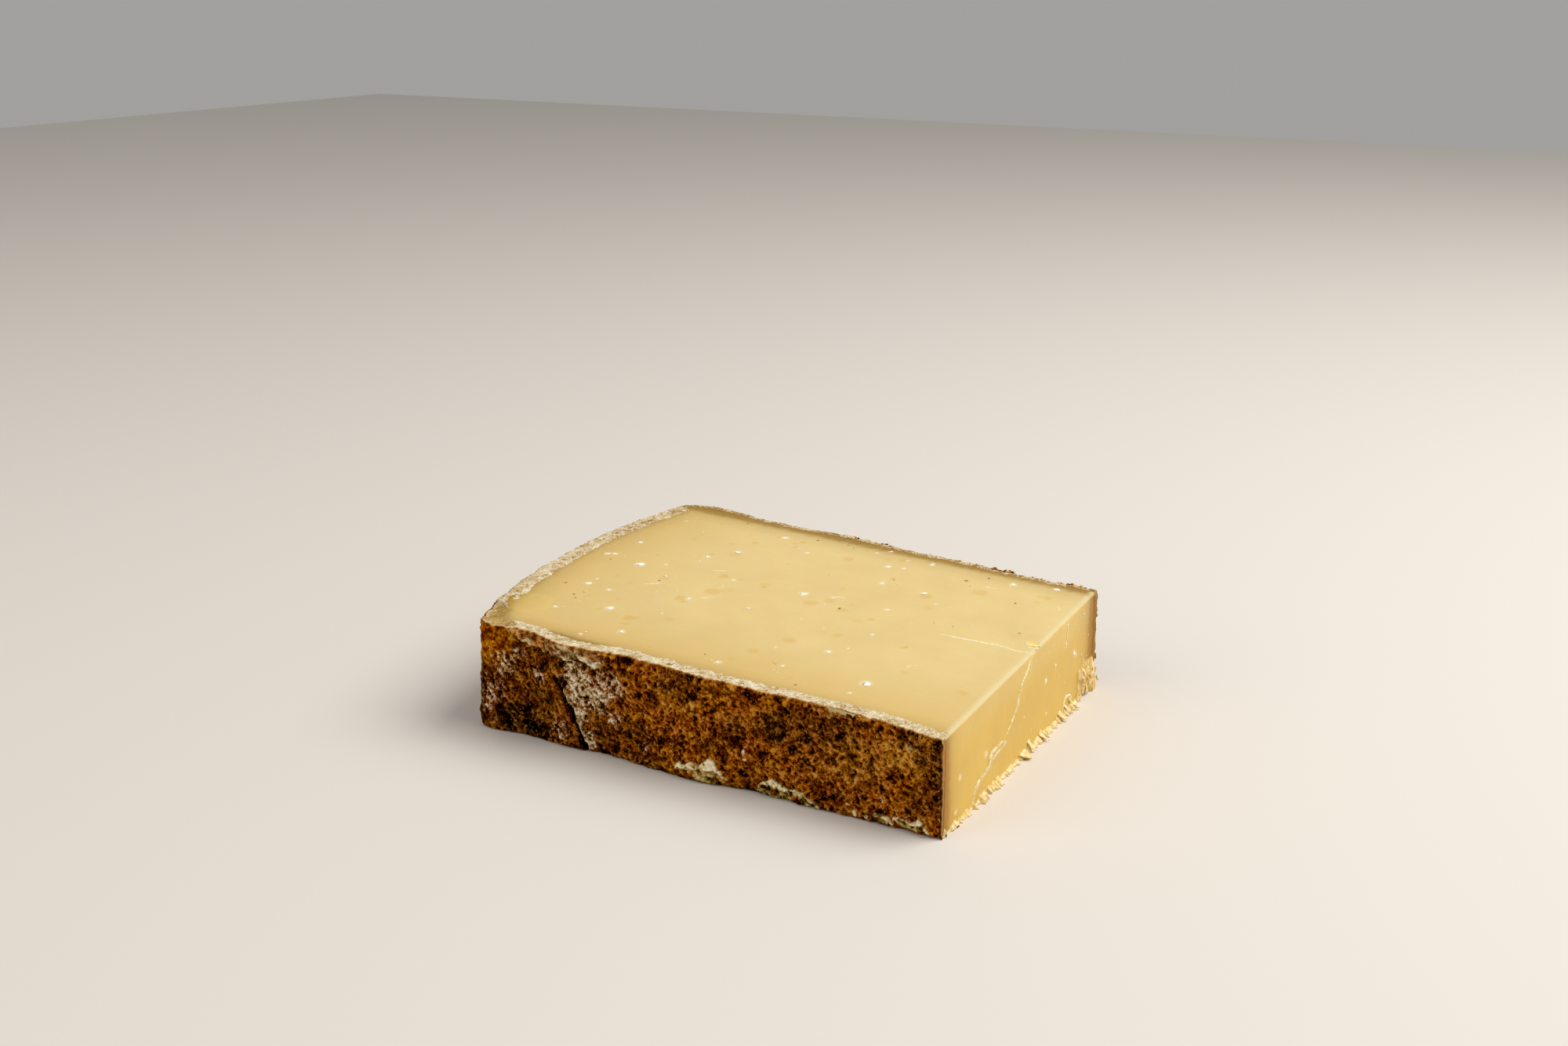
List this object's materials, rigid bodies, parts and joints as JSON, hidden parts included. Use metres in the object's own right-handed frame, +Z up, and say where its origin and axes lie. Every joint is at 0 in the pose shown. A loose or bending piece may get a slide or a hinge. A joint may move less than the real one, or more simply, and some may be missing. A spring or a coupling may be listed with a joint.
{
  "type": "comte cheese",
  "caption": "Thick flat piece of hard cooked cheese with brown washed rind on its front, back and rounded heel, lying on a cut face, with a smooth pale yellow cut top and end.",
  "frame": {"origin": "middle of the underside of the piece's box", "axes": "+X along the front rind from the rounded heel to the cut end, +Y across the wheel from the front rind to the back rind, +Z up"},
  "size_m": [0.1344, 0.1044, 0.0296],
  "materials": {
    "cheese": "satin pale yellow paste on the cut faces, rough mottled brown rind on the other sides"
  },
  "bodies": {
    "root": {"cheese_piece": "cheese"}
  },
  "joints": []
}
